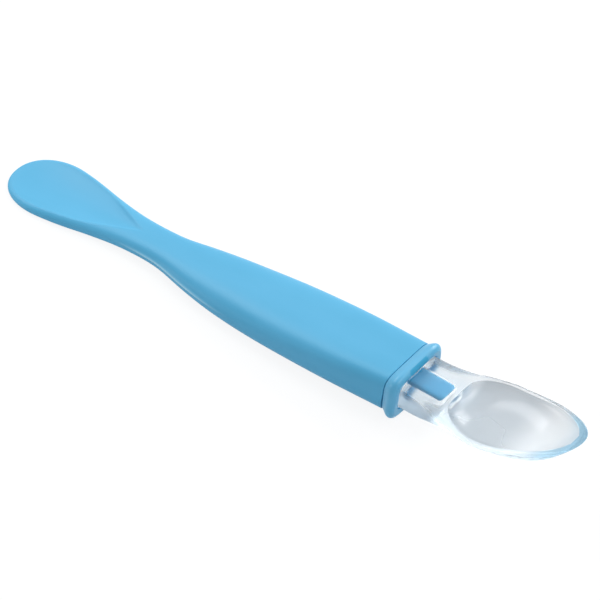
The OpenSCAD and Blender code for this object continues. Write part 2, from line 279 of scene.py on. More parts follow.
FOOT_X = COLLAR_THICKNESS - RECESS_DEPTH
NECK_FOOT_X = FOOT_X + SEAT_CLEARANCE
SEAM_X = (HANDLE_LENGTH - NECK_FOOT_X - TIP_LENGTH) / 2
MOUTH_BOTTOM = COLLAR_BULGE - COLLAR_FLAT_DEPTH
MOUTH_MIDDLE = MOUTH_BOTTOM + MOUTH_HEIGHT / 2
NECK_BOTTOM = RIM_HEIGHT - NECK_HEIGHT
NECK_MIDDLE = RIM_HEIGHT - NECK_HEIGHT / 2
SOCKET_Z = MOUTH_MIDDLE - SOCKET_DROP
SOCKET_HALF_WIDTH = MOUTH_WIDTH / 2 - HANDLE_WALL
SOCKET_HALF_HEIGHT = MOUTH_HEIGHT / 2 - HANDLE_WALL - SOCKET_DROP
LEDGE_X = -SPIGOT_LENGTH - LEDGE
CORE_END_X = LEDGE_X - CORE_LENGTH
TONGUE_END_X = COLLAR_THICKNESS + TONGUE_REACH
POCKET_END_X = TONGUE_END_X + POCKET_CLEARANCE
LIP_GLOW_LOW = RIM_HEIGHT + RIM_RISE - LIP_GLOW_DROP
HOLLOW_FOOT = (POCKET_END_X + WEB_LENGTH - NECK_FOOT_X) / TIP_LENGTH
HOLLOW_LIP = 1 - LIP_WALL / TIP_LENGTH
HOLLOW_MIDDLE = TIP_STATIONS[-1]

# A quarter of a section, from its widest place to its top, closest together at the widest place
QUARTER_POINTS = 40
QUARTER_CROWDING = 1.5
QUARTER_SHARES = (np.arange(QUARTER_POINTS) / QUARTER_POINTS) ** QUARTER_CROWDING

# Angles of a finely drawn quarter, closest together at both ends, where a squarish curve turns fast
FINE_LOW, FINE_HIGH = 0.1, 1.47
FINE_END_POINTS, FINE_MIDDLE_POINTS = 40, 120
FINE_ANGLES = np.concatenate([
    np.linspace(0, FINE_LOW, FINE_END_POINTS)[:-1],
    np.linspace(FINE_LOW, FINE_HIGH, FINE_MIDDLE_POINTS),
    np.linspace(FINE_HIGH, np.pi / 2, FINE_END_POINTS)[1:],
])
FINE_SIN = np.sin(FINE_ANGLES)
FINE_COS = np.append(np.cos(FINE_ANGLES[:-1]), 0)

# Points of the soft tip's section: each side of the rim, the hollow, and the keel
RIM_POINTS, HOLLOW_POINTS, KEEL_POINTS = 14, 56, 64
FINE_HOLLOW_POINTS = 241
HOLLOW_CROWDING = 0.4


def track(stations, values, at, calm=0.3, level_end=False):
    """Smooth line through stations: a blend of one that never overshoots them and one of even curvature.

    calm is the first one's share, and level_end ends it level.
    """
    xs, ys, x = np.array(stations, float), np.array(values, float), np.asarray(at, float)
    widths = np.diff(xs)
    rises = np.diff(ys) / widths
    slopes = np.zeros(len(xs))
    slopes[0], slopes[-1] = rises[0], 0 if level_end else rises[-1]
    for i in range(1, len(xs) - 1):
        before, after = rises[i - 1], rises[i]
        slopes[i] = 2 * before * after / (before + after) if before * after > 0 else 0
    rows, sums = np.eye(len(xs)), slopes.copy()
    for i in range(1, len(xs) - 1):
        rows[i, i - 1:i + 2] = widths[i], 2 * (widths[i - 1] + widths[i]), widths[i - 1]
        sums[i] = 3 * (widths[i] * rises[i - 1] + widths[i - 1] * rises[i])
    slopes = calm * slopes + (1 - calm) * np.linalg.solve(rows, sums)
    i = np.clip(np.searchsorted(xs, x, side="left") - 1, 0, len(xs) - 2)
    t = np.clip((x - xs[i]) / widths[i], 0, 1)
    return (
        ys[i] * (2 * t**3 - 3 * t**2 + 1)
        + ys[i + 1] * (3 * t**2 - 2 * t**3)
        + widths[i] * slopes[i] * (t**3 - 2 * t**2 + t)
        + widths[i] * slopes[i + 1] * (t**3 - t**2)
    )


def ease(t):
    """Goes smoothly from 0 to 1."""
    u = np.clip(t, 0, 1)
    return u * u * (3 - 2 * u)


def arch(t):
    """Rises steeply from 0 and levels out at 1."""
    return 1 - (1 - np.clip(t, 0, 1)) ** 2


def spread(line, shares):
    """Points at the given shares of the length of a line of (y, z) points."""
    steps = np.hypot(*np.diff(line, axis=0).T)
    along = np.concatenate([[0], np.cumsum(steps)])
    at = np.asarray(shares) * along[-1]
    return np.stack([np.interp(at, along, line[:, 0]), np.interp(at, along, line[:, 1])], 1)


def half_ring(half_width, half_height, side_round, top_round):
    """Upper half of a section, as points from its +Y side over the top to just before its -Y side."""
    line = np.stack([half_width * FINE_COS**side_round, half_height * FINE_SIN**top_round], 1)
    quarter = spread(line, QUARTER_SHARES)
    return np.concatenate([quarter, [[0, half_height]], quarter[:0:-1] * [-1, 1]])


def ring(x, half_width, half_height, z, side_round, top_round, low_side_round=None, low_top_round=None):
    """Closed section at x with evenly drawn corners. The underside can have its own rounding."""
    upper = half_ring(half_width, half_height, side_round, top_round)
    lower = -half_ring(half_width, half_height, low_side_round or side_round, low_top_round or top_round)
    yz = np.concatenate([upper, lower])
    return np.column_stack([np.full(len(yz), x), yz[:, 0], z + yz[:, 1]])


def handle_half_width(s):
    widths = [MOUTH_WIDTH]
    widths += [WAIST_WIDTH + (GRIP_WIDTH - WAIST_WIDTH) * g for g in GRIP_SWELLS]
    widths += [WAIST_WIDTH + (PADDLE_WIDTH - WAIST_WIDTH) * g for g in PADDLE_SWELLS]
    return track(WIDTH_STATIONS, widths, s) / 2


def handle_height(s):
    return track(LINE_STATIONS, (MOUTH_HEIGHT, GRIP_HEIGHT, WAIST_HEIGHT, PADDLE_HEIGHT, END_HEIGHT), s)


def handle_middle(s):
    bottom = track(LINE_STATIONS, (MOUTH_BOTTOM, GRIP_LIFT, WAIST_LIFT, -REST_FLAT_DEPTH, 0), s)
    return bottom + handle_height(s) / 2


def parting_shown(s):
    """How much of the parting line shows: it is polished away at the mouth and the paddle's end."""
    return ease((s - PARTING_START) / PARTING_START_FADE) * ease((PARTING_END - s) / PARTING_END_FADE)


def widest_place(s):
    """How high the handle's section is widest: 1 at half its height, and less below that."""
    return 2 * track(ROUND_STATIONS, LOW_SHARES, s)


def handle_ring(s, width_scale=1.0, height_scale=1.0):
    """Section of the handle's outside at s, with the thumb hollow and the parting line's bead."""
    half_width = handle_half_width(s) * width_scale
    half_height = handle_height(s) / 2 * height_scale
    points = ring(
        -HANDLE_LENGTH * s,
        half_width,
        half_height,
        0,
        track(ROUND_STATIONS, SIDE_ROUNDS, s),
        track(ROUND_STATIONS, TOP_ROUNDS, s),
        track(ROUND_STATIONS, LOW_SIDE_ROUNDS, s),
        track(ROUND_STATIONS, LOW_TOP_ROUNDS, s),
    )
    y, z = points[:, 1], points[:, 2]
    along = (
        arch((s - THUMB_START) / (THUMB_DEEPEST - THUMB_START))
        if s < THUMB_DEEPEST
        else arch((THUMB_END - s) / (THUMB_END - THUMB_DEEPEST))
    )
    point = arch((s - THUMB_START) / THUMB_POINT_LENGTH)
    reach = max(THUMB_LEAST_REACH, (half_width - THUMB_RIM) * point)
    across = (1 - np.minimum(1, np.abs(y) / reach) ** 2) ** THUMB_SIDE_POWER
    bead = PARTING_HEIGHT * parting_shown(s) * np.exp(-(((z - PARTING_RISE) / PARTING_SPREAD) ** 2))
    points[:, 1] = y + np.sign(y) * bead * (np.abs(y) > BEAD_SIDE_SHARE * half_width)
    low = widest_place(s)
    lifted = z * np.where(z > 0, 2 - low, low) - half_height * (1 - low)
    points[:, 2] = np.maximum(0, lifted + handle_middle(s) - THUMB_DEPTH * along * across * (z > 0))
    return points


def socket_ring(x, inset=0.0):
    """Section of the handle's socket at x. An inset one belongs to the spigot that fits in it."""
    half_width, half_height = SOCKET_HALF_WIDTH - inset, SOCKET_HALF_HEIGHT - inset
    return ring(x, half_width, half_height, SOCKET_Z, SIDE_ROUNDS[0], TOP_ROUNDS[0])


def core_ring(t, x=0.0, inset=0.0):
    """Section of the handle's core, from 0 at the socket's ledge to 1 at the core's end."""
    s = -CORE_END_X / HANDLE_LENGTH
    near_width, near_height = SOCKET_HALF_WIDTH - LEDGE, SOCKET_HALF_HEIGHT - LEDGE
    far_width = min(near_width, handle_half_width(s) - HANDLE_WALL)
    far_height = min(near_height, handle_height(s) / 2 - HANDLE_WALL)
    return ring(
        LEDGE_X + (CORE_END_X - LEDGE_X) * t + x,
        near_width * (1 - t) + far_width * t - inset,
        near_height * (1 - t) + far_height * t - inset,
        SOCKET_Z * (1 - t) + handle_middle(s) * t,
        TOP_ROUNDS[1],
        TOP_ROUNDS[1],
    )


def fillet(before, corner, after, radius, steps=4, most=0.45, least_length=1e-9):
    """Rings that round a corner ring's edge, using at most a share of the way to each neighbour."""
    def towards(other):
        way = other - corner
        length = np.linalg.norm(way, axis=1, keepdims=True)
        return corner + way / np.maximum(length, least_length) * np.minimum(radius, length * most)

    start, end = towards(before), towards(after)
    shares = np.linspace(0, 1, steps + 1)
    return [start * (1 - t) ** 2 + corner * 2 * t * (1 - t) + end * t**2 for t in shares]


def rounded(rings, radii):
    """The same rings, with a fillet in place of each ring that radii names by its index."""
    out = []
    for i, r in enumerate(rings):
        out += fillet(rings[i - 1], r, rings[i + 1], radii[i]) if i in radii else [r]
    return out


def skin(name, rings, first, last, extra=()):
    """Closed smooth mesh over a row of rings, with one point that shuts each end.

    extra holds further skins of the same mesh, each as its rings, first point and last point.
    """
    points, faces = [], []
    for rows, start, end in [(rings, first, last), *extra]:
        n = len(rows[0])
        base = sum(len(p) for p in points)
        points.append(np.concatenate([[start], *rows, [end]]))
        stop = base + len(rows) * n + 1
        for i in range(n):
            j = (i + 1) % n
            faces.append((base, base + 1 + j, base + 1 + i))
            faces.append((stop, stop - n + i, stop - n + j))
            for k in range(len(rows) - 1):
                a = base + 1 + k * n
                faces.append((a + i, a + j, a + n + j, a + n + i))
    placed = (np.concatenate(points) + [SEAM_X, 0, 0]) * MM
    mesh = bpy.data.meshes.new(name)
    mesh.from_pydata(placed.tolist(), [], faces)
    mesh.validate()
    mesh.shade_smooth()
    piece = bpy.data.objects.new(name, mesh)
    bpy.context.scene.collection.objects.link(piece)
    return piece


def weigh_normals(piece):
    """Lets broad faces set the shading beside small fillets."""
    weigh = piece.modifiers.new("weighted normals", "WEIGHTED_NORMAL")
    weigh.weight = BROAD_FACE_WEIGHT
    weigh.keep_sharp = False


def make_handle():
    """The handle: its outside from the paddle's end to the mouth, then the socket and the core inside."""
    nose_rings, body_rings, core_rings, core_end_rings = 30, 150, 12, 7
    last_angle, crowding = 89.8, 1.6
    nose_share = 1 - NOSE_LENGTH / HANDLE_LENGTH
    rings = []
    for angle in last_angle * (1 - (1 - np.linspace(1, 0, nose_rings, endpoint=False)) ** crowding):
        sin, cos = math.sin(math.radians(angle)), math.cos(math.radians(angle))
        s = 1 - NOSE_LENGTH / HANDLE_LENGTH * (1 - sin**NOSE_WIDTH_POWER)
        rings.append(handle_ring(s, cos**NOSE_WIDTH_POWER, cos**NOSE_HEIGHT_POWER))
    mouth_share = MOUTH_EASE / HANDLE_LENGTH
    rings += [handle_ring(s) for s in np.linspace(nose_share, mouth_share, body_rings)]
    outer = handle_ring(0)
    below = (MOUTH_MIDDLE + GAP_CHANGE_TOP - outer[:, 2]) / GAP_CHANGE_HEIGHT
    gap = GAP_TOP + (GAP_BELOW - GAP_TOP) * ease(below)
    outer[:, 0] -= gap
    inner = socket_ring(0, -MOUTH_EDGE)
    inner[:, 0] -= gap
    tail = [rings[-1], outer, inner, socket_ring(-MOUTH_EASE), socket_ring(LEDGE_X), core_ring(0)]
    rings = rings[:-1] + rounded(tail, {1: MOUTH_EDGE, 2: MOUTH_EDGE, 4: CORE_MOUTH_EDGE})
    rings += [core_ring(t) for t in np.linspace(0, 1, core_rings)[1:]]
    for angle in np.linspace(0, np.pi / 2, core_end_rings)[1:-1]:
        rings.append(core_ring(1, -CORE_ROUND * math.sin(angle), CORE_ROUND * (1 - math.cos(angle))))
    paddle_end = [-HANDLE_LENGTH, 0, handle_middle(1)]
    core_end = [CORE_END_X - CORE_ROUND, 0, handle_middle(-CORE_END_X / HANDLE_LENGTH)]
    return skin("handle_shell", rings, paddle_end, core_end)


def collar_ring(t):
    """The bull-nosed collar's section, 0 at the seam and 1 at its front, cut flat where it stands."""
    out = track(COLLAR_STATIONS, COLLAR_SWELLS, t)
    swell = out * (COLLAR_BULGE + COLLAR_EDGE) - COLLAR_EDGE
    x, half_width, half_height = COLLAR_THICKNESS * t, MOUTH_WIDTH / 2 + swell, MOUTH_HEIGHT / 2 + swell
    whole = ring(x, half_width, half_height, MOUTH_MIDDLE, SIDE_ROUNDS[0], TOP_ROUNDS[0])
    return np.maximum(whole, [-np.inf, -np.inf, 0])


def recess_ring(x):
    half_width, half_height = NECK_WIDTH / 2 + NECK_CLEARANCE, NECK_HEIGHT / 2 + NECK_CLEARANCE
    return ring(x, half_width, half_height, NECK_MIDDLE, NECK_ROUND, NECK_ROUND)


def end_cut(past):
    """How much narrower a rounded end is on each side, at a distance past the start of its rounding."""
    return TONGUE_ROUND - math.sqrt(max(0.0, TONGUE_ROUND**2 - max(0.0, past) ** 2))


def tongue_ring(x):
    half_width = TONGUE_WIDTH / 2 - end_cut(x - (TONGUE_END_X - TONGUE_ROUND))
    return ring(x, half_width, TONGUE_HEIGHT / 2, MOUTH_MIDDLE, NECK_ROUND, NECK_ROUND)


def round_end_places(end_x, turns):
    """Places along X of the rings of a rounded end that stops at end_x."""
    return [end_x - TONGUE_ROUND * (1 - math.sin(a)) for a in turns]


def crush_rib(side, up):
    """One rib as a thin rod: rings along it, then its end points."""
    y = side * SOCKET_HALF_WIDTH / 2
    z = SOCKET_Z + up * (SOCKET_HALF_HEIGHT - RIB_CLEARANCE - RIB_RADIUS)
    start, end = -RIB_LENGTH - RIB_SETBACK, -RIB_SETBACK
    turn = np.linspace(0, 2 * np.pi, RIB_SIDES + 1)[:-1]
    places = (start, start + RIB_END_LENGTH, end - RIB_END_LENGTH, end)
    rows = []
    for x, share in zip(places, (RIB_END_SHARE, 1, 1, RIB_END_SHARE)):
        ys = y + RIB_RADIUS * share * np.cos(turn)
        zs = z + RIB_RADIUS * share * np.sin(turn)
        rows.append(np.column_stack([np.full(RIB_SIDES, x), ys, zs]))
    return rows, [start, y, z], [end, y, z]


def make_insert():
    """The insert: its hollow spigot from inside out, then collar, recess and tongue, then the ribs."""
    collar_rings, tongue_rings, end_rings = 49, 12, 12
    web_x = FOOT_X - INSERT_WALL
    inner_edge = SPIGOT_CLEARANCE + INSERT_WALL
    collar = [collar_ring(t) for t in np.linspace(0, 1, collar_rings)]
    body = [
        socket_ring(web_x, inner_edge + SPIGOT_DRAFT),
        socket_ring(-SPIGOT_LENGTH, inner_edge),
        socket_ring(-SPIGOT_LENGTH, SPIGOT_CLEARANCE + LEAD_IN),
        socket_ring(-SPIGOT_LENGTH + LEAD_IN_LENGTH, SPIGOT_CLEARANCE),
        socket_ring(0, SPIGOT_CLEARANCE),
    ]
    turns = np.linspace(0, np.pi / 2, end_rings)
    ends = [tongue_ring(x) for x in round_end_places(TONGUE_END_X, turns)]
    face_shares = [1, TONGUE_FACE_WIDTH_SHARE, TONGUE_FACE_HEIGHT_SHARE]
    tip_face = ends[-1] * face_shares + [0, 0, MOUTH_MIDDLE * (1 - TONGUE_FACE_HEIGHT_SHARE)]
    rings = body + collar + [recess_ring(COLLAR_THICKNESS), recess_ring(FOOT_X), tongue_ring(FOOT_X)]
    straight_end = TONGUE_END_X - TONGUE_ROUND - TONGUE_END_STEP
    rings += [tongue_ring(x) for x in np.linspace(FOOT_X + TONGUE_FOOT_STEP, straight_end, tongue_rings)]
    rings += ends
    back, front = len(body), len(body) + len(collar)
    radii = {
        1: SPIGOT_EDGE,
        back - 1: SPIGOT_EDGE,
        back: COLLAR_BACK_EDGE,
        front - 1: RECESS_MOUTH_EDGE,
        front: RECESS_MOUTH_EDGE,
        front + 1: RECESS_FOOT_EDGE,
        front + 2: TONGUE_FOOT_EDGE,
        len(rings) - 1: TONGUE_END_EDGE,
    }
    rings = rounded(rings + [tip_face], radii)
    ribs = [crush_rib(side, up) for side in (-1, 1) for up in (-1, 1)]
    return skin("collar_with_tongue", rings, [web_x, 0, SOCKET_Z], [TONGUE_END_X, 0, MOUTH_MIDDLE], ribs)


def tip_half_width(s):
    nose = max(0.0, (s - TIP_STATIONS[-1]) / (1 - TIP_STATIONS[-1]))
    flare = float(track(TIP_STATIONS, FLARES, s, level_end=True))
    closing = max(0.0, 1 - nose ** (2 / PLAN_POWER)) ** (PLAN_POWER / 2)
    return (NECK_WIDTH + (BOWL_WIDTH - NECK_WIDTH) * flare) / 2 * closing


def rim_line(s):
    return float(RIM_HEIGHT + RIM_RISE * track(RIM_STATIONS, RIM_SHARES, s))


def keel_line(s):
    top = RIM_HEIGHT + RIM_RISE
    return float(NECK_BOTTOM + (top - NECK_BOTTOM) * track(KEEL_STATIONS, KEEL_SHARES, s))


def hollow_plan(s):
    """Plan of the bowl's hollow: 0 at its foot and at the lip, 1 in its middle."""
    back = min(1.0, max(0.0, (HOLLOW_FOOT + HOLLOW_TURN - s) / HOLLOW_TURN))
    front = min(1.0, max(0.0, (s - HOLLOW_MIDDLE) / (HOLLOW_LIP - HOLLOW_MIDDLE)))
    return ((1 - back ** (2 / PLAN_POWER)) * (1 - front ** (2 / PLAN_POWER))) ** (PLAN_POWER / 2)


def hollow_half_width(s):
    a = tip_half_width(s)
    if s >= HOLLOW_MIDDLE:
        return max(HOLLOW_BACK * a, (BOWL_WIDTH / 2 - BOWL_WALL) * hollow_plan(s))
    return a * HOLLOW_BACK + (a * (1 - HOLLOW_BACK) - BOWL_WALL) * hollow_plan(s)


def tip_ring(s):
    """Section of the soft tip: over the rim and hollow from +Y to -Y, then under the keel."""
    x = NECK_FOOT_X + TIP_LENGTH * s
    a, inner = tip_half_width(s), hollow_half_width(s)
    top, low = rim_line(s), keel_line(s)
    share = float(track(EQUATOR_STATIONS, EQUATOR_SHARES, s))
    z = low * (1 - share) + top * share
    turned = float(ease((s - ROUND_CHANGE[0]) / (ROUND_CHANGE[1] - ROUND_CHANGE[0])))
    power = NECK_ROUND + (BOWL_ROUND - NECK_ROUND) * turned
    depth = (min(BOWL_DEPTH, top - low) - BOWL_WALL) * hollow_plan(s)
    cos, sin = FINE_COS**power, FINE_SIN**power
    rim = np.stack([inner + (a - inner) * cos, z + (top - z) * sin], 1)
    under = np.stack([a * cos, z - (z - low) * sin], 1)
    turn = np.linspace(0, np.pi, FINE_HOLLOW_POINTS)
    hollow = np.stack([inner * np.cos(turn), top - depth * np.sin(turn)], 1)
    rim = spread(rim, np.arange(RIM_POINTS) / RIM_POINTS)
    even = np.linspace(0, 1, HOLLOW_POINTS + 1)
    crowded = (1 - np.cos(np.pi * even)) / 2
    hollow = spread(hollow, HOLLOW_CROWDING * crowded + (1 - HOLLOW_CROWDING) * even)
    half = spread(under, np.arange(KEEL_POINTS // 2) / (KEEL_POINTS // 2))
    keel = np.concatenate([half[1:] * [-1, 1], [[0, low]], half[:0:-1]])
    yz = np.concatenate([rim, hollow, rim[::-1] * [-1, 1], keel])
    return np.column_stack([np.full(len(yz), x), yz[:, 0], yz[:, 1]])


def pocket_ring(x):
    """Pocket section with the soft tip's point count and order."""
    a = TONGUE_WIDTH / 2 + POCKET_CLEARANCE - end_cut(x - (POCKET_END_X - TONGUE_ROUND))
    b = TONGUE_HEIGHT / 2 + POCKET_CLEARANCE
    quarter = np.stack([a * FINE_COS**NECK_ROUND, b * FINE_SIN**NECK_ROUND], 1)
    half = np.concatenate([quarter, quarter[-2::-1] * [-1, 1]])
    over = 2 * RIM_POINTS + HOLLOW_POINTS
    upper = spread(half, np.linspace(0, 1, over + 1))
    lower = -spread(half, np.linspace(0, 1, KEEL_POINTS + 1))[1:-1]
    yz = np.concatenate([upper, lower])
    return np.column_stack([np.full(len(yz), x), yz[:, 0], MOUTH_MIDDLE + yz[:, 1]])


def soften(rings, rounds, share=0.5):
    """Moves each point towards the middle of its neighbours, which rounds edges by about one spacing."""
    grid = np.array(rings)
    for _ in range(rounds):
        beside = (np.roll(grid, 1, axis=1) + np.roll(grid, -1, axis=1)) / 2
        along = grid.copy()
        along[1:-1] = (grid[2:] + grid[:-2]) / 2
        middle = (beside + along) / 2
        grid[1:-1] += share * (middle[1:-1] - grid[1:-1])
    return list(grid)


def graded(start, end):
    """Stations after start up to end, close together at the hollow's two ends and at the lip's front."""
    fine_steps = 2000
    fine = np.linspace(start, end, fine_steps + 1)
    from_turn = np.minimum(np.abs(fine - HOLLOW_FOOT), np.abs(fine - HOLLOW_LIP))
    near_turn = TURN_STEP + STEP_GROWTH * from_turn
    near_front = FRONT_STEP + STEP_GROWTH * (1 - fine)
    gap = np.minimum(np.minimum(near_turn, near_front), GREATEST_STEP)
    passed = np.concatenate([[0], np.cumsum(np.diff(fine) / (gap[1:] + gap[:-1]) * 2)])
    steps = math.ceil(passed[-1])
    return list(np.interp(np.linspace(0, passed[-1], steps + 1)[1:], passed, fine))


def make_tip():
    """The soft tip: its pocket from the end out to the neck's foot, then its outside with the hollow."""
    end_rings, pocket_rings, soft_rounds = 10, 14, 5
    turns = np.linspace(np.pi / 2, 0, end_rings)
    pocket = [pocket_ring(x) for x in round_end_places(POCKET_END_X, turns)]
    straight = np.linspace(POCKET_END_X - TONGUE_ROUND, NECK_FOOT_X, pocket_rings)
    pocket += [pocket_ring(x) for x in straight[1:]]
    shares = graded(0, HOLLOW_FOOT) + graded(HOLLOW_FOOT, HOLLOW_LIP) + graded(HOLLOW_LIP, TIP_LAST_SHARE)
    outside = soften([tip_ring(s) for s in [TIP_SECOND_SHARE, *shares]], soft_rounds)
    edges = {len(pocket) - 1: TIP_FOOT_EDGE, len(pocket): TIP_FOOT_EDGE}
    rings = rounded([*pocket, tip_ring(0), *outside], edges)
    lip_end = [NECK_FOOT_X + TIP_LENGTH, 0, RIM_HEIGHT + RIM_RISE]
    return skin("clear_tip", rings, [POCKET_END_X, 0, MOUTH_MIDDLE], lip_end)


def node(tree, kind, inputs=None, **settings):
    """A shader node with the given settings, and with values set on its inputs."""
    made = tree.nodes.new(kind)
    for key, value in settings.items():
        setattr(made, key, value)
    for key, value in (inputs or {}).items():
        made.inputs[key].default_value = value
    return made


def new_material(name):
    material = bpy.data.materials.new(name)
    material.use_nodes = True
    tree = material.node_tree
    tree.nodes.clear()
    return material, tree, tree.nodes.new("ShaderNodeOutputMaterial")


def two_tone(tree, factor, low, high):
    """A colour between two, as a noise goes over its usual range."""
    tint = node(tree, "ShaderNodeValToRGB")
    for stop, place, colour in zip(tint.color_ramp.elements, (NOISE_LOW, NOISE_HIGH), (low, high)):
        stop.position, stop.color = place, colour
    tree.links.new(factor, tint.inputs["Fac"])
    return tint.outputs["Color"]


def ranged(tree, factor, low, high):
    """A value between two, as a noise goes over its usual range."""
    limits = {"From Min": NOISE_LOW, "From Max": NOISE_HIGH, "To Min": low, "To Max": high}
    sheen = node(tree, "ShaderNodeMapRange", limits)
    tree.links.new(factor, sheen.inputs["Value"])
    return sheen.outputs["Result"]


def marked(tree, colour, attribute, other):
    """A colour that turns into the other one where a mesh attribute says so."""
    where = node(tree, "ShaderNodeAttribute", attribute_name=attribute)
    mix = node(tree, "ShaderNodeMix", {"B": other}, data_type="RGBA")
    tree.links.new(where.outputs["Fac"], mix.inputs["Factor"])
    tree.links.new(colour, mix.inputs["A"])
    return mix.outputs["Result"]


def blue_plastic(name, seed, smoothest, roughest, shine):
    """Satin moulded plastic: faint clouds drawn out along the handle, orange peel, matt in silicone, and
    a painted highlight along the parting line.
    """
    material, tree, out = new_material(name)
    link = tree.links.new
    place = node(tree, "ShaderNodeTexCoord")
    shift = node(tree, "ShaderNodeMapping", {"Location": (seed, 0, 0), "Scale": TINT_SCALES})
    link(place.outputs["Object"], shift.inputs["Vector"])
    grain = {"Scale": 1.0, "Detail": TINT_DETAIL, "Roughness": TINT_ROUGHNESS}
    clouds = node(tree, "ShaderNodeTexNoise", grain)
    link(shift.outputs["Vector"], clouds.inputs["Vector"])
    tint = two_tone(tree, clouds.outputs["Fac"], DEEP_BLUE, PALE_BLUE)
    wetted = marked(tree, tint, "in silicone", WET_BLUE)
    inside = node(tree, "ShaderNodeAttribute", attribute_name="in silicone")
    rough = node(tree, "ShaderNodeMath", {1: WET_ROUGHNESS}, operation="MULTIPLY_ADD")
    link(inside.outputs["Fac"], rough.inputs[0])
    link(ranged(tree, clouds.outputs["Fac"], smoothest, roughest), rough.inputs[2])
    peel = node(tree, "ShaderNodeTexNoise", {"Scale": PEEL_SCALE, "Detail": FINE_DETAIL})
    link(place.outputs["Object"], peel.inputs["Vector"])
    bump = node(tree, "ShaderNodeBump", {"Strength": PEEL_STRENGTH, "Distance": PEEL_DEPTH})
    link(peel.outputs["Fac"], bump.inputs["Height"])
    shader = node(tree, "ShaderNodeBsdfPrincipled", {"IOR": PLASTIC_IOR, "Specular IOR Level": shine})
    # The parting line gets a lighter base colour: a painted highlight
    link(marked(tree, wetted, "parting line", PARTING_HIGHLIGHT_BLUE), shader.inputs["Base Color"])
    link(rough.outputs["Value"], shader.inputs["Roughness"])
    link(bump.outputs["Normal"], shader.inputs["Normal"])
    link(shader.outputs["BSDF"], out.inputs["Surface"])
    return material


def clear_silicone():
    """Clear soft silicone, a little milky and blue, unevenly glossy, with painted shade in the bowl and a
    painted blue glow at the lip. Lamps reach what is inside it.
    """
    material, tree, out = new_material("clear silicone")
    link = tree.links.new
    place = node(tree, "ShaderNodeTexCoord")
    waves = node(tree, "ShaderNodeTexNoise", {"Scale": WAVE_SCALE, "Detail": FINE_DETAIL})
    link(place.outputs["Object"], waves.inputs["Vector"])
    tint = two_tone(tree, waves.outputs["Fac"], DEEP_MILK, PALE_MILK)
    bump = node(tree, "ShaderNodeBump", {"Strength": WAVE_STRENGTH, "Distance": WAVE_DEPTH})
    link(waves.outputs["Fac"], bump.inputs["Height"])
    shader = node(tree, "ShaderNodeBsdfPrincipled", {"IOR": SILICONE_IOR})
    clarity = node(tree, "ShaderNodeAttribute", attribute_name="clarity")
    link(clarity.outputs["Fac"], shader.inputs["Transmission Weight"])
    # The bowl's hollow gets a darker base colour: painted shade
    bowl = marked(tree, tint, "bowl painted shade", BOWL_PAINTED_SHADE)
    # The lip's front gets a bluer base colour: a painted glow
    link(marked(tree, bowl, "lip painted glow", LIP_PAINTED_GLOW), shader.inputs["Base Color"])
    frost = node(tree, "ShaderNodeAttribute", attribute_name="frost")
    rough = node(tree, "ShaderNodeMath", operation="ADD")
    link(ranged(tree, waves.outputs["Fac"], SILICONE_SMOOTHEST, SILICONE_ROUGHEST), rough.inputs[0])
    link(frost.outputs["Fac"], rough.inputs[1])
    link(rough.outputs["Value"], shader.inputs["Roughness"])
    link(bump.outputs["Normal"], shader.inputs["Normal"])
    lamps = node(tree, "ShaderNodeBsdfTransparent", {"Color": SHADOW_TINT})
    path = node(tree, "ShaderNodeLightPath")
    choose = node(tree, "ShaderNodeMixShader")
    link(path.outputs["Is Shadow Ray"], choose.inputs["Fac"])
    link(shader.outputs["BSDF"], choose.inputs[1])
    link(lamps.outputs["BSDF"], choose.inputs[2])
    link(choose.outputs["Shader"], out.inputs["Surface"])
    depth = node(tree, "ShaderNodeVolumeAbsorption", {"Color": DEPTH_TINT, "Density": TINT_DENSITY})
    link(depth.outputs["Volume"], out.inputs["Volume"])
    return material


def places_of(piece):
    """X from the seam, Y and Z of each point of a piece, in millimetres."""
    return (np.array([v.co for v in piece.data.vertices]) / MM - [SEAM_X, 0, 0]).T


def mark(piece, name, values):
    """Gives each point of a piece a value that its material reads."""
    attribute = piece.data.attributes.new(name, "FLOAT", "POINT")
    attribute.data.foreach_set("value", values.astype(np.float32))


def shade_handle(piece):
    """Marks the parting line's painted highlight, lighter than the skin beside it."""
    x, y, z = places_of(piece)
    s = np.clip(-x / HANDLE_LENGTH, 0, 1)
    low = widest_place(s)
    line = handle_middle(s) - handle_height(s) / 2 * (1 - low) + PARTING_RISE * (2 - low)
    side = np.abs(y) > PARTING_HIGHLIGHT_SIDE_SHARE * handle_half_width(s)
    # Painted highlight: a band of lighter colour along the parting line on both sides
    mark(piece, "parting line", parting_shown(s) * np.exp(-(((z - line) / PARTING_SPREAD) ** 2)) * side)


def shade_insert(piece):
    """Marks the tongue, which silicone wets, so it has no gloss of its own."""
    x, y, _ = places_of(piece)
    tongue = (x > FOOT_X + TONGUE_MARGIN) & (np.abs(y) < TONGUE_WIDTH / 2 + TONGUE_MARGIN)
    mark(piece, "in silicone", tongue)


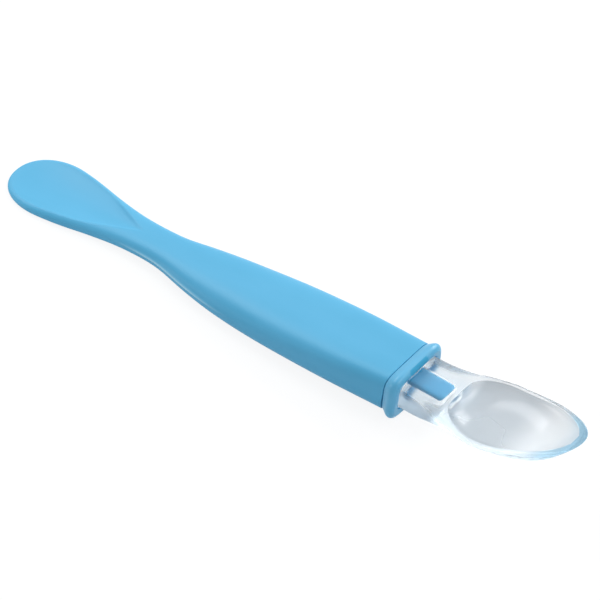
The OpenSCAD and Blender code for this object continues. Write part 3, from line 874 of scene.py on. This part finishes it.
def shade_tip(piece):
    """Marks each point of the silicone: how clear and how frosted it is, how much painted blue glow its
    lip has, and how much painted shade its bowl has.
    """
    x, y, z = places_of(piece)
    s = (x - NECK_FOOT_X) / TIP_LENGTH
    order = (np.arange(len(x)) - 1) % (2 * RIM_POINTS + HOLLOW_POINTS + KEEL_POINTS)
    hollow = (order >= RIM_POINTS) & (order <= RIM_POINTS + HOLLOW_POINTS)
    in_bowl = hollow & (s > HOLLOW_FOOT) & (s < HOLLOW_LIP)
    in_pocket = np.abs(y) < TONGUE_WIDTH / 2 + POCKET_MARGIN
    in_pocket &= np.abs(z - MOUTH_MIDDLE) < TONGUE_HEIGHT / 2 + POCKET_MARGIN
    in_pocket &= x < POCKET_END_X + POCKET_END_MARGIN
    clear = 1 - CLOUD_LOSS * ease((s - CLOUD_START) / CLOUD_FADE)
    clear[in_bowl] = BOWL_CLARITY
    clear[in_pocket] = 1.0
    rim = RIM_HEIGHT + RIM_RISE * track(RIM_STATIONS, RIM_SHARES, np.clip(s, 0, 1))
    frost = FROST_MOST * ease((rim - z - FROST_START) / FROST_FADE)
    frost[in_bowl | in_pocket] = 0.0
    # Painted glow: bluer towards the front of the lip and up its outside, not in the bowl
    forward = ease((s - LIP_GLOW_START) / LIP_GLOW_FADE)
    blue = forward * ease((z - LIP_GLOW_LOW) / LIP_GLOW_RISE) * ~in_bowl
    # Painted shade: darker in the middle and back of the bowl's hollow, fading out towards the lip
    past_foot = ease((s - HOLLOW_FOOT) / PAINTED_SHADE_START_FADE)
    painted_shade = past_foot * (1 - ease((s - PAINTED_SHADE_END) / PAINTED_SHADE_END_FADE)) * in_bowl
    mark(piece, "clarity", clear)
    mark(piece, "frost", frost)
    mark(piece, "lip painted glow", blue)
    mark(piece, "bowl painted shade", painted_shade)


def backdrop_rays(tree):
    """1 for camera, glossy and transmission rays, which see the background, before any matt surface."""
    path = node(tree, "ShaderNodeLightPath")
    value = path.outputs["Is Camera Ray"]
    for name in ("Is Glossy Ray", "Is Transmission Ray"):
        add = node(tree, "ShaderNodeMath", operation="MAXIMUM")
        tree.links.new(value, add.inputs[0])
        tree.links.new(path.outputs[name], add.inputs[1])
        value = add.outputs["Value"]
    direct = node(tree, "ShaderNodeMath", {1: NO_MATT_BOUNCE}, operation="LESS_THAN")
    tree.links.new(path.outputs["Diffuse Depth"], direct.inputs[0])
    both = node(tree, "ShaderNodeMath", operation="MULTIPLY")
    tree.links.new(value, both.inputs[0])
    tree.links.new(direct.outputs["Value"], both.inputs[1])
    return both.outputs["Value"]


def make_floor():
    """Plain pale floor, lifted to white for the camera, which keeps a soft shadow."""
    mesh = bpy.data.meshes.new("floor")
    half = FLOOR_HALF_SIDE
    corners = [(-half, -half, 0), (half, -half, 0), (half, half, 0), (-half, half, 0)]
    mesh.from_pydata(corners, [], [(0, 1, 2, 3)])
    floor = bpy.data.objects.new("floor", mesh)
    bpy.context.scene.collection.objects.link(floor)
    material, tree, out = new_material("pale floor")
    link = tree.links.new
    matt = node(tree, "ShaderNodeBsdfDiffuse", {"Color": FLOOR_GREY})
    glow = node(tree, "ShaderNodeEmission", {"Color": WHITE, "Strength": FLOOR_GLOW})
    lift = node(tree, "ShaderNodeMath", {1: FLOOR_LIFT}, operation="MULTIPLY")
    link(backdrop_rays(tree), lift.inputs[0])
    mix = node(tree, "ShaderNodeMixShader")
    link(lift.outputs["Value"], mix.inputs["Fac"])
    link(matt.outputs["BSDF"], mix.inputs[1])
    link(glow.outputs["Emission"], mix.inputs[2])
    link(mix.outputs["Shader"], out.inputs["Surface"])
    mesh.materials.append(material)


def make_world():
    """Even studio light, seen as plain white."""
    world = bpy.data.worlds.new("studio")
    bpy.context.scene.world = world
    world.use_nodes = True
    tree = world.node_tree
    tree.nodes.clear()
    out = tree.nodes.new("ShaderNodeOutputWorld")
    light = node(tree, "ShaderNodeBackground", {"Color": STUDIO_TINT, "Strength": STUDIO_STRENGTH})
    seen = node(tree, "ShaderNodeBackground", {"Color": WHITE, "Strength": 1.0})
    mix = node(tree, "ShaderNodeMixShader")
    tree.links.new(backdrop_rays(tree), mix.inputs["Fac"])
    tree.links.new(light.outputs["Background"], mix.inputs[1])
    tree.links.new(seen.outputs["Background"], mix.inputs[2])
    tree.links.new(mix.outputs["Shader"], out.inputs["Surface"])


def make_lamp(name, place, aim, width, height, watts):
    """A soft box that faces its aim."""
    data = bpy.data.lights.new(name, "AREA")
    data.shape = "RECTANGLE"
    data.size, data.size_y, data.energy = width, height, watts
    lamp = bpy.data.objects.new(name, data)
    bpy.context.scene.collection.objects.link(lamp)
    lamp.location = place
    lamp.rotation_mode = "QUATERNION"
    lamp.rotation_quaternion = (Vector(aim) - Vector(place)).to_track_quat("-Z", "Y")


def make_camera():
    """The photograph's view: azimuth, elevation, roll and focal length come from its outline."""
    azimuth, elevation, roll = np.radians([VIEW_AZIMUTH, VIEW_ELEVATION, VIEW_ROLL])
    level = math.cos(elevation)
    back = Vector((math.sin(azimuth) * level, -math.cos(azimuth) * level, math.sin(elevation)))
    right = Vector((math.cos(azimuth), math.sin(azimuth), 0))
    up = back.cross(right)
    turned_right = right * math.cos(roll) + up * math.sin(roll)
    turned_up = up * math.cos(roll) - right * math.sin(roll)
    data = bpy.data.cameras.new("camera")
    data.sensor_width = SENSOR_WIDTH
    data.lens = SENSOR_WIDTH * FOCAL_PIXELS / PHOTO_PIXELS
    data.clip_start, data.clip_end = NEAREST, FARTHEST
    camera = bpy.data.objects.new("camera", data)
    bpy.context.scene.collection.objects.link(camera)
    axes = Matrix((turned_right, turned_up, back)).transposed().to_4x4()
    camera.matrix_world = Matrix.Translation(Vector(VIEW_AIM) + back * VIEW_DISTANCE) @ axes
    bpy.context.scene.camera = camera


make_camera()
make_world()
make_floor()
for lamp in LAMPS:
    make_lamp(*lamp)

handle = make_handle()
weigh_normals(handle)
insert = make_insert()
weigh_normals(insert)
shade_handle(handle)
shade_insert(insert)
tip = make_tip()
shade_tip(tip)

satin = blue_plastic("blue plastic", seed=0.0, smoothest=0.36, roughest=0.44, shine=0.35)
glossier = blue_plastic("blue plastic of the insert", seed=7.0, smoothest=0.29, roughest=0.33, shine=0.6)
for piece, cad_node, body, slot, material in (
    (handle, "handle", "handle_body", "blue_plastic", satin),
    (insert, "collar_insert", "handle_body", "blue_plastic_insert", glossier),
    (tip, "silicone_tip", "tip_body", "clear_silicone", clear_silicone()),
):
    piece.data.materials.append(material)
    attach(piece, body)
    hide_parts(cad_node)

bpy.context.scene.view_settings.view_transform = "Standard"
